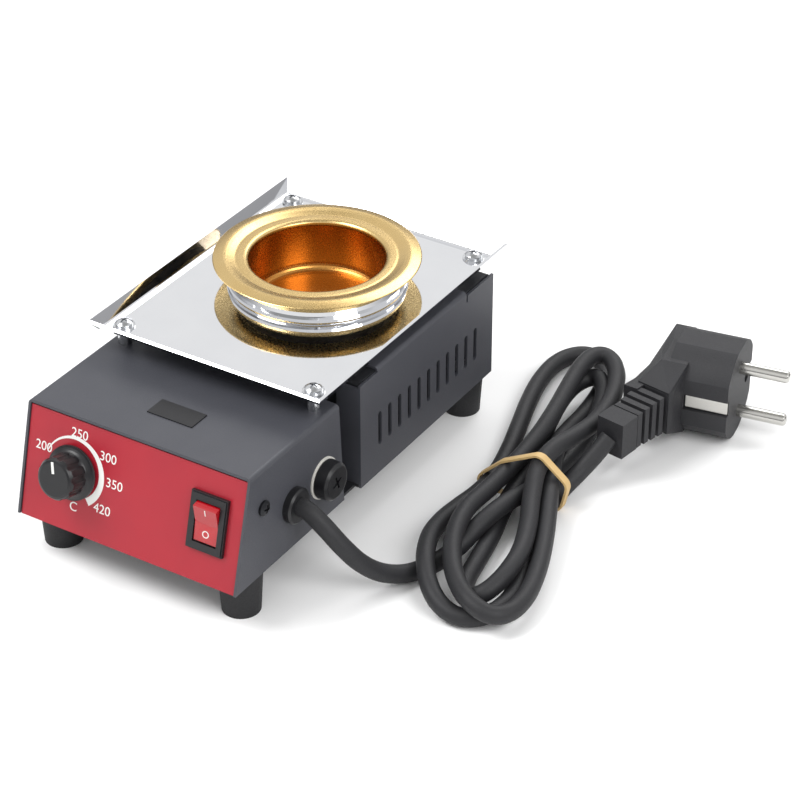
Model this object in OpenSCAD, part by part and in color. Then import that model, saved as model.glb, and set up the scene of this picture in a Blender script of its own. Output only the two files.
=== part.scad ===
// Bench solder pot: a sheet-metal control box and a slotted heater housing on
// one base plate, joined by a stainless drip tray that the crucible stands in.
// The origin is on the crucible's axis at floor level. +X right, +Y back, +Z up.

/* [Cases] */
// Height of the rubber feet, floor to base plate
foot_h = 16.5; // [10:0.5:24]
// Overall width of the control box cover
control_w = 93.7; // [88:0.1:104]
// Depth of the control box at its base
control_len = 67.5; // [64:0.5:80]
// Height of the control box above the base plate's underside
control_h = 41.9; // [38:0.1:50]
// Backward tilt of the front panel, in degrees
panel_tilt = 15.1; // [8:0.1:20]
// Open gap between control box and heater housing
case_gap = 9; // [6:0.5:16]
// How much further the heater housing reaches than the control box, on each side
heater_wider = 1.25; // [0:0.05:5]
// Depth of the heater housing
heater_len = 92.2; // [88:0.1:110]
// Height of the heater housing above the base plate's underside
heater_h = 43.3; // [40:0.1:52]
// Sheet thickness of the covers
sheet_t = 1.0; // [0.8:0.1:1.6]
// Thickness of the base plate
base_t = 1.2; // [1:0.1:2]
// Thickness of the red front panel
panel_t = 1.2; // [1:0.1:2]

/* [Vent slots] */
// Number of slots in each side of the heater housing
slot_count = 11; // [5:1:12]
// Distance between slots
slot_pitch = 6.65; // [5.5:0.05:7.5]
// Width of a slot
slot_w = 2.2; // [1.5:0.1:3]
// Length of a slot with its round ends
slot_len = 14.1; // [8:0.1:20]

/* [Tray] */
// Height of the tray's flat above the floor
tray_z = 65.3; // [64.5:0.1:74]
// How far the tray's flanges reach out over the control box's sides
tray_over_side = 2.85; // [1:0.05:8]
// How far the tray reaches forward over the control box
tray_over_front = 18.9; // [17:0.1:26]
// How far the tray reaches out behind the heater housing
tray_over_back = 7.7; // [6:0.1:14]
// Height of the flared flanges above the flat
flange_rise = 4.5; // [3:0.1:8]
// How far the side flanges lean out
flare_side = 3.5; // [2:0.1:6]
// How far the front and back flanges lean out
flare_end = 5.1; // [3:0.1:6]
// Thickness of the tray sheet
tray_t = 1.0; // [0.6:0.1:1.4]
// Distance of the tray screws from the control box's sides
tray_screw_in = 6.25; // [6:0.05:9]

/* [Crucible] */
// Radius of the crucible's cavity
cavity_r = 25.0; // [22:0.1:26]
// Depth of the cavity below its inner edge
cavity_depth = 18.4; // [12:0.1:20]
// Outer radius of the crucible's rim
rim_r = 38.4; // [37:0.1:42]
// Height of the rim's crest above the tray
rim_above_tray = 11.2; // [9:0.1:14]
// Height from the rim's crest down to its underside
rim_t = 1.4; // [1.2:0.1:3]
// Wall between the cavity and the heater
crucible_wall = 3.4; // [2.5:0.1:4]
// Outer radius of the stainless heater can
can_r = 32.2; // [31.8:0.1:33]
// Outer radius of the polished collar on the tray
collar_r = 33.4; // [33.3:0.1:36]
// Height of the collar above the tray
collar_h = 6.6; // [4:0.1:8]

/* [Controls] */
// Dial centre, left of the panel's middle
dial_x = -25; // [-30:0.5:-20]
// Dial centre, up the slope from the panel's lower edge
dial_s = 22.6; // [18:0.1:24]
// Radius of the knob's skirt
knob_skirt_r = 10; // [8:0.1:10.5]
// Radius of the knob's fluted grip
knob_grip_r = 7.7; // [6:0.1:8]
// Height of the knob's face above the panel
knob_h = 11.0; // [9:0.1:14]
// Switch centre, right of the panel's middle
switch_x = 32.3; // [26:0.1:34]
// Switch centre, up the slope
switch_s = 22.6; // [18:0.1:24]
// Width of the switch's bezel
bezel_w = 15; // [14:0.1:16]
// Length of the switch's bezel
bezel_l = 21; // [20:0.1:22]
// Swing of the rocker between off and on, in degrees
rocker_swing = 24; // [16:1:26]

/* [Side fittings] */
// Cable gland behind the panel's lower edge
gland_from_front = 35.4; // [32:0.1:38]
// Fuse holder behind the panel's lower edge
fuse_from_front = 54.3; // [52:0.1:56]
// Height of the gland and fuse holder above the base plate's underside
side_port_h = 17.4; // [15:0.1:20]
// Radius of the gland's flange
gland_r = 6.6; // [5.5:0.1:7.5]
// Thickness of the gland's flange
gland_t = 3.1; // [2:0.1:4]
// Radius of the fuse cap
fuse_cap_r = 7.4; // [7.2:0.1:8]
// How far the fuse cap stands out of its seal
fuse_cap_h = 5.4; // [4.5:0.1:7]

/* [Cord and plug] */
// Diameter of the mains cord
cord_d = 6.8; // [6:0.1:7.6]
// Radius of the plug's face
plug_r = 18.7; // [17:0.1:20]
// Length of the plug's pins
pin_len = 19; // [16:0.5:22]
// Radius of the plug's pins
pin_r = 2.4; // [2:0.1:2.6]
// Distance between the plug's pins
pin_pitch = 19; // [17:0.5:20]

/* [Hidden] */
$fn = 48;
eps = 0.01;

// Fits between pieces
slip = 0.2;        // sheet metal beside sheet metal
hole_clear = 0.2;  // a screw in its hole, on the radius
run_clear = 0.05;  // a pin turning in its bore, on the radius
swing_gap = 0.3;   // a moving piece beside a fixed one

// Heights and edges that everything is placed from
base_z = foot_h;
base_top = base_z + base_t;
control_top = base_z + control_h;
heater_top = base_z + heater_h;
heater_back_y = heater_len / 2;
heater_front_y = -heater_len / 2;
control_back_y = heater_front_y - case_gap;
control_front_y = control_back_y - control_len;
back_lean = 2.6;   // the cover's back edge leans forward at its top
fold_r = 1.6;      // outside radius of a folded edge
flange = 9;        // width of a folded seam
panel_inset = 0.6; // the red panel sits behind the cover's edge
inner_w = control_w - 2 * sheet_t - 2 * slip;
heater_w = control_w + 2 * heater_wider;
port_z = base_z + side_port_h;
gland_y = control_front_y + gland_from_front;
fuse_y = control_front_y + fuse_from_front;
side_x = control_w / 2;

// Screws
screw_r = 1.5;
head_r = 3.15;
head_h = 2.1;
nut_r = 3.1;
nut_h = 2.4;
washer_r = 4.0;
washer_t = 0.6;
foot_x = control_w / 2 - 8.15;
foot_top_r = 8;
foot_low_r = 7;
foot_recess = 6;
foot_front_y = control_front_y + 14.4;
foot_back_y = heater_back_y - 5.9;
foot_places = [for (x = [-foot_x, foot_x], y = [foot_front_y, foot_back_y]) [x, y]];
side_screw_depth = 10.3;  // behind the panel's face plane
side_screw_s = 30.2;      // up the slope

// Tray fixing
tray_w = control_w + 2 * tray_over_side;
tray_front = tray_over_front - control_back_y;
tray_back = heater_back_y + tray_over_back;
tray_screw_x = control_w / 2 - tray_screw_in;
tray_screw_front = 8.9 - control_back_y;
tray_screw_back = heater_back_y - 2.4;
front_holes = [for (x = [-tray_screw_x, tray_screw_x]) [x, -tray_screw_front]];
back_holes = [for (x = [-tray_screw_x, tray_screw_x]) [x, tray_screw_back]];
spacer_r = 2.5;

// Heater stack, from the base plate up
shell_top = heater_top + 0.4;
can_t = 0.8;
can_top = tray_z + 3.4;
can_floor = base_top + 12;
pad_z = can_floor + can_t;
rim_top = tray_z + rim_above_tray;
rim_low = rim_top - rim_t;
cavity_edge = rim_top - 2.9;
cavity_z = cavity_edge - cavity_depth;
crucible_r = cavity_r + crucible_wall;
crucible_z = cavity_z - crucible_wall;
plate_t = 6;
plate_z = crucible_z - plate_t;
probe_r = 1.5;

// Dial and switch
shaft_r = 3;
bush_r = 3.8;
pot_r = 8.2;
rocker_r = 7.3;
rocker_w = 9.4;
rocker_pin_r = 1.0;
rocker_rise = -0.8;  // height of the rocker's pin above the panel
bezel_t = 1.8;

// Fuse holder
fuse_r = 2.5;
fuse_len = 20;
fuse_barrel_r = 5;
fuse_bore_r = 3.25;
seal_t = 0.6;
fuse_collar_r = 6.4;
fuse_collar_t = 1.6;
fuse_proud = 1.8;    // how far the fuse stands out of the holder, inside its cap

// Cord: where the pieces on it lie
cord_r = cord_d / 2;
plug_face = [135.6, 81.3, 19];
plug_turn = 10;
relief_root = [-26, -23];
relief_end = [-35, -49.3];

// ---- shared shapes ---------------------------------------------------------

// Puts children on the panel's face plane: x right, y up the slope, z outward
module on_panel(x = 0, s = 0, out = 0)
    translate([0, control_front_y, base_z]) rotate([90 - panel_tilt, 0, 0])
        translate([x, s, out]) children();

// Turns a shape drawn in the Y-Z plane into a slab of width w across X
module across(w)
    rotate([90, 0, 90]) translate([0, 0, -w / 2]) linear_extrude(w) children();

// Turns a cylinder or revolve so that its axis runs along +X
module along_x(x, y, z) translate([x, y, z]) rotate([0, 90, 0]) children();

// Flat strip with its two upper corners rounded
module round_top(w, h, r) {
    translate([-w / 2, 0]) square([w, h - r]);
    translate([-w / 2 + r, 0]) square([w - 2 * r, h]);
    for (sx = [-1, 1]) translate([sx * (w / 2 - r), h - r]) circle(r);
}

// Folded channel, open at the bottom
module channel(w, h, t, r)
    difference() {
        round_top(w, h, r);
        translate([0, -eps]) round_top(w - 2 * t, h - t + eps, max(r - t, 0.3));
    }

module pan_screw(len, r = screw_r) {
    difference() {
        rotate_extrude() {
            polygon(concat([[0, 0], [head_r, 0]],
                [for (a = [0 : 15 : 90]) [head_r * (0.72 + 0.28 * cos(a)) - head_r * 0.72 * a / 90,
                    head_h * (0.45 + 0.55 * sin(a))]]));
        }
        for (a = [0, 90]) rotate(a) translate([-head_r * 0.55, -0.35, head_h * 0.45])
            cube([head_r * 1.1, 0.7, head_h]);
    }
    translate([0, 0, -len]) cylinder(r = r, h = len + eps);
}

module hex_nut(h = nut_h, r = nut_r, bore = screw_r)
    difference() {
        cylinder(r = r, h = h, $fn = 6);
        translate([0, 0, -1]) cylinder(r = bore + run_clear, h = h + 2, $fn = 24);
    }

// ---- tube along a smooth line through hand-set points ------------------------

function unit(v) = v / norm(v);
function spline_point(p, i, t) =
    let (n = len(p) - 1, a = p[max(i - 1, 0)], b = p[i], c = p[i + 1], d = p[min(i + 2, n)])
    0.5 * (2 * b + (c - a) * t + (2 * a - 5 * b + 4 * c - d) * t * t
        + (3 * b - a - 3 * c + d) * t * t * t);
function smooth_line(p, steps) = concat(
    [for (i = [0 : len(p) - 2], k = [0 : steps - 1]) spline_point(p, i, k / steps)],
    [p[len(p) - 1]]);
function heading(q, i) = unit(q[min(i + 1, len(q) - 1)] - q[max(i - 1, 0)]);
function carried(q, i, v) =
    let (t = heading(q, i), u = unit(v - (v * t) * t))
    i == len(q) - 1 ? [u] : concat([u], carried(q, i + 1, u));

module tube(points, r, sides = 10, steps = 1) {
    q = smooth_line(points, steps);
    n = len(q);
    side = carried(q, 0, [0.02, 0.03, 1]);
    rings = [for (i = [0 : n - 1], k = [0 : sides - 1])
        let (t = heading(q, i), u = side[i], v = cross(t, u), a = 360 * k / sides)
        q[i] + r * (cos(a) * u + sin(a) * v)];
    polyhedron(rings, concat(
        [for (i = [0 : n - 2], k = [0 : sides - 1])
            let (a = i * sides + k, b = i * sides + (k + 1) % sides)
            [a, a + sides, b + sides, b]],
        [[for (k = [0 : sides - 1]) k]],
        [[for (k = [sides - 1 : -1 : 0]) (n - 1) * sides + k]]), convexity = 6);
}

// ---- base and feet -----------------------------------------------------------

module base_plate() color("#26272b") difference() {
    union() {
        translate([-inner_w / 2, control_front_y + panel_t + 1.2, base_z])
            cube([inner_w, control_len + case_gap - panel_t - 1.2, base_t]);
        translate([-shell_w / 2, heater_front_y - eps, base_z])
            cube([shell_w, heater_len - sheet_t - slip, base_t]);
    }
    for (p = foot_places) translate([p[0], p[1], base_z - 1])
        cylinder(r = screw_r + hole_clear, h = base_t + 2);
    for (a = can_leg_angles) rotate(a) translate([can_leg_r, 0, base_z - 1])
        cylinder(r = screw_r + hole_clear, h = base_t + 2);
    for (p = board_places) translate([p[0], p[1], base_z - 1])
        cylinder(r = screw_r + hole_clear, h = base_t + 2);
}

module rubber_feet() color("#1b1b1d") for (p = foot_places) translate([p[0], p[1], 0])
    difference() {
        cylinder(r1 = foot_low_r, r2 = foot_top_r, h = foot_h);
        translate([0, 0, -eps]) cylinder(r = head_r + 0.6, h = foot_recess + eps);
        translate([0, 0, foot_recess - 1]) cylinder(r = screw_r + hole_clear, h = foot_h);
    }

module foot_screws() color("silver") for (p = foot_places) translate([p[0], p[1], foot_recess]) {
    rotate([180, 0, 0]) pan_screw(eps);
    cylinder(r = screw_r, h = base_top - foot_recess + nut_h + 1);
    translate([0, 0, base_top - foot_recess]) cylinder(r = nut_r, h = nut_h, $fn = 6);
}

// ---- control box -------------------------------------------------------------

// Side view of the box: tilted front, leaning back edge
module control_side(grow = 0) {
    lean = control_h * tan(panel_tilt);
    polygon([[control_front_y - grow, base_z - grow], [control_front_y + lean - grow, control_top + grow],
        [control_back_y - back_lean, control_top + grow], [control_back_y, base_z - grow]]);
}

module control_cover() color("#3b3c41") difference() {
    intersection() {
        translate([0, control_back_y + 1, base_z]) rotate([90, 0, 0])
            linear_extrude(control_len + 4) channel(control_w, control_h, sheet_t, fold_r);
        across(control_w + 2) control_side();
    }
    // side screws
    for (sx = [-1, 1]) on_panel(sx * side_x, side_screw_s, -side_screw_depth)
        rotate([0, 90, 0]) translate([0, 0, -4]) cylinder(r = screw_r + hole_clear, h = 8);
    along_x(side_x - 4, gland_y, port_z) cylinder(r = gland_neck_r + hole_clear, h = 8);
    along_x(side_x - 4, fuse_y, port_z) cylinder(r = fuse_barrel_r + hole_clear, h = 8);
    for (p = front_holes) translate([p[0], p[1], control_top - 3])
        cylinder(r = screw_r + hole_clear, h = 6);
}

gland_neck_r = 4.9;
panel_top_s = (control_h - sheet_t - slip) / cos(panel_tilt) - 0.4;
panel_low_s = base_t / cos(panel_tilt) + 0.5;

module front_panel() color("#b3242b") difference() {
    union() {
        on_panel(-inner_w / 2, 0, -panel_inset - panel_t) cube([inner_w, panel_top_s, panel_t]);
        // side flanges that take the cover's screws
        for (sx = [0, 1]) on_panel(sx * (inner_w - panel_t) - inner_w / 2, 8, -side_screw_depth - 5)
            cube([panel_t, panel_top_s - 12, side_screw_depth + 5 - panel_inset - 0.5]);
        // foot that lies on the base plate
        translate([-inner_w / 2 + 6, control_front_y + 2.4, base_top])
            cube([inner_w - 12, flange, panel_t]);
    }
    on_panel(0, 0, -20) translate([-inner_w, -10, 0]) cube([2 * inner_w, 10, 30]);
    for (sx = [-1, 1]) on_panel(sx * side_x, side_screw_s, -side_screw_depth)
        rotate([0, 90, 0]) translate([0, 0, -6]) cylinder(r = screw_r + run_clear, h = 12);
    on_panel(dial_x, dial_s, -5) cylinder(r = bush_r + hole_clear, h = 10);
    on_panel(switch_x - switch_neck_w / 2 - slip, switch_s - switch_neck_l / 2 - slip, -5)
        cube([switch_neck_w + 2 * slip, switch_neck_l + 2 * slip, 10]);
    // the base plate's front edge passes below the panel
    translate([-inner_w, control_front_y + 1.4, base_z - 1]) cube([2 * inner_w, 30, base_t + 1]);
}

back_wall_y = control_back_y - back_lean - 1.8;
module control_back_wall() color("#202124") difference() {
    union() {
        translate([-inner_w / 2, back_wall_y - sheet_t, base_top])
            cube([inner_w, sheet_t, control_h - base_t - sheet_t - slip]);
        translate([-inner_w / 2, back_wall_y - flange, base_top]) cube([inner_w, flange, sheet_t]);
        translate([-inner_w / 2, back_wall_y - flange - 3, control_top - 2 * sheet_t - slip])
            cube([inner_w, flange + 3, sheet_t]);
    }
    for (p = front_holes) translate([p[0], p[1], control_top - 6])
        cylinder(r = screw_r + hole_clear, h = 10);
    for (x = wire_x) translate([x, back_wall_y + 5, wire_z]) rotate([90, 0, 0])
        cylinder(r = wire_r + 1, h = 12);
}

module cover_screws() color("#2a2b2e") for (sx = [-1, 1])
    on_panel(sx * side_x, side_screw_s, -side_screw_depth)
        rotate([0, sx * 90, 0]) scale(0.9) pan_screw(6, screw_r / 0.9);

module label_plate() color("#17181a")
    translate([2.7 - 9.5, control_back_y - 41.5, control_top]) cube([19, 9, 0.4]);

// ---- heater housing ----------------------------------------------------------

tab_front_y = heater_front_y + 11.5;
tab_back_y = heater_back_y - 19.6;
tab_w = 9;
tab_top = shell_top + 0.2 + sheet_t;

module slot_row() for (i = [0 : slot_count - 1])
    translate([(i - (slot_count - 1) / 2) * slot_pitch, 0]) {
        translate([-slot_w / 2, -(slot_len - slot_w) / 2]) square([slot_w, slot_len - slot_w]);
        for (sy = [-1, 1]) translate([0, sy * (slot_len - slot_w) / 2]) circle(slot_w / 2);
    }

// Right-hand side: slotted sheet, seams folded in at both ends, tab over the top
module heater_side() {
    x0 = heater_w / 2 - sheet_t;
    slot_z = base_z + 18.85;
    difference() {
        union() {
            translate([x0, heater_front_y, base_z]) cube([sheet_t, heater_len, heater_h - 0.2]);
            for (y = [heater_front_y, heater_back_y - sheet_t]) translate([x0 - flange, y, base_top + slip])
                cube([flange + eps, sheet_t, heater_h - base_t - slip - 1.4]);
            // tab: up, round the fold and in over the top plate
            translate([heater_w / 2, tab_back_y, 0]) rotate([90, 0, 0])
                linear_extrude(tab_back_y - tab_front_y) difference() {
                    translate([-tab_w, base_z + 20]) union() {
                        square([tab_w, tab_top - base_z - 20 - fold_r]);
                        square([tab_w - fold_r, tab_top - base_z - 20]);
                        translate([tab_w - fold_r, tab_top - base_z - 20 - fold_r]) circle(fold_r);
                    }
                    translate([-tab_w - 1, base_z + 19])
                        square([tab_w + 1 - sheet_t, tab_top - base_z - 19 - sheet_t]);
                }
        }
        // relief slit behind the tab, and the small slanted notch in front of it
        translate([x0 - 2, tab_back_y, heater_top - 3]) cube([4, 0.9, 6]);
        translate([x0 - 2, tab_front_y - 1.6, heater_top + 0.3]) rotate([45, 0, 0]) cube([4, 1.6, 1.6]);
        translate([x0 - 2, 0, slot_z]) rotate([90, 0, 90]) linear_extrude(4) slot_row();
    }
}

module heater_side_right() color("#3b3c41") heater_side();
module heater_side_left() color("#3b3c41") mirror([1, 0, 0]) heater_side();

// Front wall, top plate and back wall folded from one sheet
shell_w = heater_w - 2 * sheet_t - 2 * slip;
module heater_shell() color("#2b2c30") difference() {
    union() {
        rotate([90, 0, 90]) translate([0, base_top, -shell_w / 2]) linear_extrude(shell_w)
            channel(heater_len - 2 * sheet_t - 2 * slip, shell_top - base_top, sheet_t, fold_r);
        for (sy = [-1, 1]) mirror([0, sy < 0 ? 1 : 0, 0])
            translate([-shell_w / 2 + 12, heater_back_y - sheet_t - slip - flange, base_top])
                cube([shell_w - 24, flange - sheet_t + eps, sheet_t]);
    }
    translate([0, 0, shell_top - 4]) cylinder(r = can_r + 0.6, h = 8);
    for (x = wire_x) translate([x, heater_front_y + 8, wire_z]) rotate([90, 0, 0])
        cylinder(r = wire_r + 1, h = 12);
}

// ---- tray ----------------------------------------------------------------------

bend_r = 1.5;
// Points of a bend of radius r from flat to the flange's slope
function bend(r, turn) = [for (k = [0 : 4]) let (a = turn * k / 4)
    [-bend_r * tan(turn / 2) + r * sin(a), bend_r - r * cos(a)]];
// Section of one flange: u outward from the fold line, v up from the flat
module flange_section(out) {
    turn = atan2(flange_rise, out - tray_t * 0.75);
    lip = tray_t * [sin(turn), -cos(turn)];
    tip = [out - lip[0], flange_rise];
    polygon(concat([[-6, 0]], bend(bend_r, turn), [tip, tip + lip],
        [for (k = [4 : -1 : 0]) bend(bend_r + tray_t, turn)[k]], [[-6, -tray_t]]));
}

// One flange of length len between fold corners, along X, mitred to its neighbours
module flared_flange(len, out, side_out) intersection() {
    translate([-len / 2 - 12, 0, 0]) rotate([90, 0, 90]) linear_extrude(len + 24) flange_section(out);
    translate([0, 0, -5]) linear_extrude(20) polygon([[-len / 2 + side_out, -out], [len / 2 - side_out, -out],
        [len / 2 + 1.5 * side_out, 1.5 * out], [-len / 2 - 1.5 * side_out, 1.5 * out]]);
}

module tray() {
    fold_x = tray_w / 2 - flare_side;
    fold_f = -tray_front + flare_end;
    fold_b = tray_back - flare_end;
    color("#c9ccd0") difference() {
        translate([0, 0, tray_z]) union() {
            translate([-fold_x + 3, fold_f + 3, -tray_t])
                cube([2 * fold_x - 6, fold_b - fold_f - 6, tray_t]);
            translate([0, fold_b, 0]) flared_flange(2 * fold_x, flare_end, flare_side);
            translate([0, fold_f, 0]) rotate(180) flared_flange(2 * fold_x, flare_end, flare_side);
            for (sx = [-1, 1]) translate([sx * fold_x, (fold_b + fold_f) / 2, 0]) rotate(-sx * 90)
                flared_flange(fold_b - fold_f, flare_side, flare_end);
        }
        translate([0, 0, tray_z - 5]) cylinder(r = can_r + slip, h = 10, $fn = 96);
        for (p = concat(front_holes, back_holes)) translate([p[0], p[1], tray_z - 5])
            cylinder(r = screw_r + hole_clear, h = 10);
    }
}

module tray_screws() color("#b8bbbf") {
    for (p = front_holes) translate([p[0], p[1], tray_z + washer_t])
        pan_screw(tray_z + washer_t - control_top + 6.6);
    for (p = back_holes) translate([p[0], p[1], tray_z + washer_t])
        pan_screw(tray_z + washer_t - shell_top - 0.4);
}

module tray_washers() color("#c4c7ca") for (p = concat(front_holes, back_holes))
    translate([p[0], p[1], tray_z]) difference() {
        cylinder(r = washer_r, h = washer_t);
        translate([0, 0, -1]) cylinder(r = screw_r + hole_clear, h = 3);
    }

module tray_spacers() color("#c4c7ca") {
    for (p = front_holes) translate([p[0], p[1], control_top]) difference() {
        cylinder(r = spacer_r, h = tray_z - tray_t - control_top);
        translate([0, 0, -1]) cylinder(r = screw_r + hole_clear, h = 20);
    }
    for (p = back_holes) translate([p[0], p[1], shell_top]) difference() {
        cylinder(r = spacer_r, h = tray_z - tray_t - shell_top);
        translate([0, 0, -1]) cylinder(r = screw_r + run_clear, h = 20);
    }
}

module tray_nuts() color("#b8bbbf")
    for (p = front_holes) translate([p[0], p[1], control_top - 2 * sheet_t - slip - nut_h]) hex_nut();

// ---- heater and crucible ---------------------------------------------------------

can_leg_angles = [90, 210, 330];
can_leg_r = can_r - 8;

module heater_can() color("#cfd1d4") difference() {
    rotate_extrude($fn = 96) polygon(concat(
        [[0, can_floor], [can_r - 1.5, can_floor]],
        [for (a = [0 : 30 : 90]) [can_r - 1.5 + 1.5 * sin(a), can_floor + 1.5 - 1.5 * cos(a)]],
        [[can_r, can_top], [can_r - can_t, can_top], [can_r - can_t, pad_z], [0, pad_z]]));
    for (a = can_leg_angles) rotate(a) translate([can_leg_r, 0, can_floor - 1])
        cylinder(r = screw_r + hole_clear, h = 4);
    for (x = wire_x) translate([x, wire_in_y, can_floor - 1]) cylinder(r = wire_r + 0.6, h = 4);
    translate([0, 0, can_floor - 1]) cylinder(r = probe_r + 0.6, h = 4);
}

// Polished ring around the can's edge, rounded over towards the crucible
collar_curve = [[-0.9, 0], [-0.25, 0.6], [0, 1.4], [-0.05, 2.6], [-0.4, 3.8], [-1.1, 5.0],
    [-2.1, 6.0], [-3.2, 6.6]];
module can_collar() color("#cfd1d4") rotate_extrude($fn = 96) polygon(concat(
    [[can_r + run_clear, tray_z], [can_r + 0.3, tray_z]],
    [for (p = collar_curve) [collar_r + p[0], tray_z + p[1] * collar_h / 6.6]],
    [[collar_r - 3.2, tray_z + collar_h - 0.6], [collar_r - 2.5, tray_z + collar_h - 1.4],
     [can_r - 0.6, can_top + 0.6], [can_r + run_clear, can_top + 0.2]]));

module can_standoffs() color("#a9acb0") for (a = can_leg_angles) rotate(a)
    translate([can_leg_r, 0, base_top]) cylinder(r = 4, h = can_floor - base_top, $fn = 6);

module insulation_pad() color("#d8d4c8") difference() {
    translate([0, 0, pad_z]) cylinder(r = can_r - can_t - 0.3, h = plate_z - pad_z);
    for (x = wire_x) translate([x, wire_in_y, pad_z - 1]) cylinder(r = wire_r + 0.6, h = 60);
    translate([0, 0, pad_z - 1]) cylinder(r = probe_r + 0.3, h = 60);
}

module heating_plate() color("#8d8578")
    translate([0, 0, plate_z]) cylinder(r = crucible_r - 1, h = plate_t);

band_in_r = crucible_r + 0.3;
band_out_r = min(band_in_r + 2.6, can_r - can_t - 0.4);
band_top = tray_z - 2;
module band_heater() color("#9a8f7a") difference() {
    translate([0, 0, plate_z]) cylinder(r = band_out_r, h = band_top - plate_z);
    translate([0, 0, plate_z - 1]) cylinder(r = band_in_r, h = 60);
    // split of the band, where its ends are drawn together
    translate([band_in_r - 1, -1, plate_z - 1]) cube([10, 2, 60]);
}

seat_r = collar_r - 3.9;
// Blackened ring between the band heater and the crucible's rim
module crucible_seat() color("#232326") difference() {
    translate([0, 0, band_top]) cylinder(r = seat_r, h = rim_low - band_top);
    translate([0, 0, band_top - 1]) cylinder(r = band_in_r, h = 60);
}

// Gold-coloured rim with a low round crest, a step inside it and a rounded lip
rim_curve = [[0, -1.2], [-0.05, -1.05], [-0.3, -0.85], [-1, -0.65], [-2, -0.38], [-3, -0.15],
    [-3.6, -0.04], [-4.1, 0], [-4.9, -0.08], [-6, -0.32], [-7.2, -0.68], [-8.2, -0.97],
    [-8.6, -1.0], [-9.4, -0.92], [-10.4, -0.9]];
lip_r = 2;
rim_w = rim_r - cavity_r - lip_r;
module crucible() color("#c9a227") rotate_extrude($fn = 96) {
    floor_r = 3;
    polygon(concat(
        [[0, crucible_z], [crucible_r - 2, crucible_z], [crucible_r, crucible_z + 2],
         [crucible_r, rim_low], [rim_r - 0.4, rim_low]],
        [for (p = rim_curve) [rim_r + p[0] * rim_w / 11.4, rim_top + p[1]]],
        [for (a = [90 : 15 : 180]) [cavity_r + lip_r + lip_r * cos(a), cavity_edge + lip_r * sin(a)]],
        [for (a = [0 : 15 : 90]) [cavity_r - floor_r + floor_r * cos(a), cavity_z + floor_r - floor_r * sin(a)]],
        [[0, cavity_z]]));
}

module sensor_probe() color("#b5b8bb")
    translate([0, 0, can_floor - 6]) cylinder(r = probe_r, h = plate_z - can_floor + 6);

// ---- dial ------------------------------------------------------------------------

knob_base = 0.6;       // running gap under the knob, above the dial nut's washer
knob_bore_depth = knob_h - 2.5;
module knob() color("#141416") on_panel(dial_x, dial_s) difference() {
    union() {
        // bell-shaped skirt
        rotate_extrude() polygon(concat([[0, knob_base], [knob_skirt_r, knob_base],
            [knob_skirt_r, knob_base + 0.9]],
            [for (a = [15 : 15 : 75]) [knob_grip_r - 0.6 + (knob_skirt_r - knob_grip_r + 0.6) * (1 - sin(a)),
                knob_base + 0.9 + 2.6 * (1 - cos(a)) + 0.4 * a / 75]],
            [[knob_grip_r - 0.9, knob_base + 4.2], [0, knob_base + 4.2]]));
        // fluted grip with a chamfered face
        intersection() {
            linear_extrude(knob_h) difference() {
                circle(knob_grip_r);
                for (k = [0 : 9]) rotate(36 * k + 12) translate([knob_grip_r + 1.6, 0]) circle(2.1, $fn = 24);
            }
            rotate_extrude() polygon([[0, knob_base], [knob_grip_r, knob_base],
                [knob_grip_r, knob_h - 1.4], [knob_grip_r - 0.8, knob_h - 0.3],
                [knob_grip_r - 1.6, knob_h], [0, knob_h]]);
        }
    }
    // room for the nut, and the bore for the shaft
    translate([0, 0, -1]) cylinder(r = 6.4, h = 1 + knob_base + 2.6);
    translate([0, 0, -1]) cylinder(r = shaft_r, h = 1 + knob_bore_depth);
}

module dial_shaft() color("#c2c4c7") on_panel(dial_x, dial_s)
    translate([0, 0, -panel_inset - panel_t - 6]) cylinder(r = shaft_r,
        h = knob_bore_depth + panel_inset + panel_t + 6);

// Potentiometer: round can behind the panel, threaded bush through it, three lugs
module potentiometer() color("#7d8085") on_panel(dial_x, dial_s) {
    face = -panel_inset - panel_t;
    difference() {
        union() {
            translate([0, 0, face - 8.5]) cylinder(r = pot_r, h = 8.5);
            translate([0, 0, face - eps]) cylinder(r = bush_r, h = panel_t + 3);
        }
        translate([0, 0, face - 6 - run_clear]) cylinder(r = shaft_r + run_clear, h = 20);
    }
    for (x = [-5, 0, 5]) translate([x - 0.8, -pot_r - 5, face - 6]) cube([1.6, 6, 0.8]);
}

module dial_nut() color("#c2c4c7") on_panel(dial_x, dial_s, -panel_inset) difference() {
    cylinder(r = 5.6, h = 2.2, $fn = 6);
    translate([0, 0, -1]) cylinder(r = bush_r, h = 5);
}

// ---- rocker switch -----------------------------------------------------------------

switch_neck_w = bezel_w - 2;
switch_neck_l = bezel_l - 2;
switch_depth = 13;
module switch_body() color("#26272a") on_panel(switch_x, switch_s) difference() {
    union() {
        // bezel with a slightly sloped edge
        translate([-bezel_w / 2, -bezel_l / 2, -panel_inset]) cube([bezel_w, bezel_l, bezel_t - 0.4]);
        translate([-bezel_w / 2 + 0.5, -bezel_l / 2 + 0.5, -panel_inset]) cube([bezel_w - 1, bezel_l - 1, bezel_t]);
        translate([-switch_neck_w / 2, -switch_neck_l / 2, -switch_depth])
            cube([switch_neck_w, switch_neck_l, switch_depth]);
    }
    translate([-rocker_w / 2 - 0.25, -rocker_r - swing_gap, rocker_rise - rocker_r - swing_gap])
        cube([rocker_w + 0.5, 2 * (rocker_r + swing_gap), 20]);
    translate([-rocker_w / 2 - 1.3, 0, rocker_rise]) rotate([0, 90, 0])
        cylinder(r = rocker_pin_r + run_clear, h = rocker_w + 2.6, $fn = 32);
}

module switch_terminals() color("#b9bbbd") on_panel(switch_x, switch_s, -switch_depth)
    for (y = [-6, 0, 6]) translate([-2.4, y - 0.4, -7]) cube([4.8, 0.8, 7]);

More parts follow.
